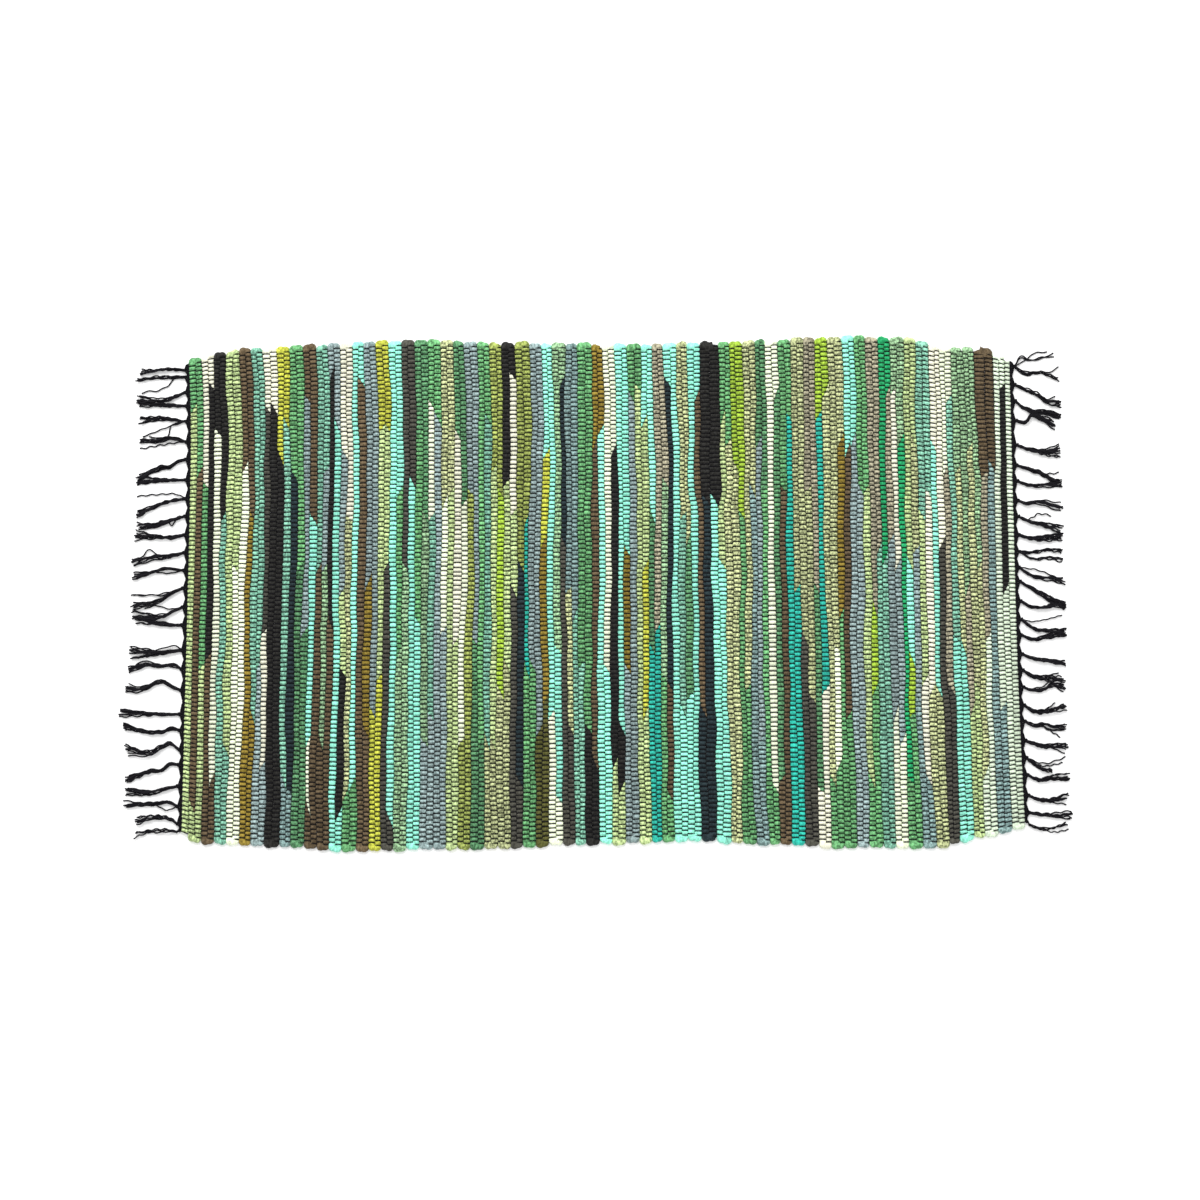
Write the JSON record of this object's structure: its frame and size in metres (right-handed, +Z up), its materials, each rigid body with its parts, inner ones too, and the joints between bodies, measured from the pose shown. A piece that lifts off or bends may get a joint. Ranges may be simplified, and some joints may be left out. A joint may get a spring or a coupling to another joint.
{
  "type": "bath mat",
  "caption": "Flat hand-woven rag bath mat: multicoloured cotton rag strips across a black cotton warp, with knotted tassels at both ends.",
  "frame": {"origin": "middle of the underside, on the floor", "axes": "+X along the mat from fringe to fringe, +Y across it from selvedge to selvedge, +Z up"},
  "size_m": [0.947, 0.5088, 0.0055],
  "materials": {
    "rag_black": "soft cotton jersey rag",
    "rag_navy": "soft cotton jersey rag",
    "rag_charcoal": "soft cotton jersey rag",
    "rag_brown": "soft cotton jersey rag",
    "rag_olive": "soft cotton jersey rag",
    "rag_gold": "soft cotton jersey rag",
    "rag_taupe": "soft cotton jersey rag",
    "rag_khaki": "soft cotton jersey rag",
    "rag_moss": "soft cotton jersey rag",
    "rag_pistachio": "soft cotton jersey rag",
    "rag_cream": "soft cotton jersey rag",
    "rag_ivory": "soft cotton jersey rag",
    "rag_lime": "soft cotton jersey rag",
    "rag_bright_lime": "soft cotton jersey rag",
    "rag_mint": "soft cotton jersey rag",
    "rag_sage": "soft cotton jersey rag",
    "rag_leaf": "soft cotton jersey rag",
    "rag_forest": "soft cotton jersey rag",
    "rag_emerald": "soft cotton jersey rag",
    "rag_turquoise": "soft cotton jersey rag",
    "rag_seafoam": "soft cotton jersey rag",
    "rag_aqua": "soft cotton jersey rag",
    "rag_slate": "soft cotton jersey rag",
    "rag_grey": "soft cotton jersey rag",
    "warp_cotton": "matt twisted cotton thread",
    "heading_cotton": "matt cotton yarn",
    "fringe_cotton": "loose cotton strands"
  },
  "bodies": {
    "root": {"weft_black": "rag_black", "weft_navy": "rag_navy", "weft_charcoal": "rag_charcoal", "weft_brown": "rag_brown", "weft_olive": "rag_olive", "weft_gold": "rag_gold", "weft_taupe": "rag_taupe", "weft_khaki": "rag_khaki", "weft_moss": "rag_moss", "weft_pistachio": "rag_pistachio", "weft_cream": "rag_cream", "weft_ivory": "rag_ivory", "weft_lime": "rag_lime", "weft_bright_lime": "rag_bright_lime", "weft_mint": "rag_mint", "weft_sage": "rag_sage", "weft_leaf": "rag_leaf", "weft_forest": "rag_forest", "weft_emerald": "rag_emerald", "weft_turquoise": "rag_turquoise", "weft_seafoam": "rag_seafoam", "weft_aqua": "rag_aqua", "weft_slate": "rag_slate", "weft_grey": "rag_grey", "warp_threads": "warp_cotton", "heading_left": "heading_cotton", "heading_right": "heading_cotton", "knots_left": "fringe_cotton", "knots_right": "fringe_cotton", "fringe_left": "fringe_cotton", "fringe_right": "fringe_cotton"}
  },
  "joints": []
}
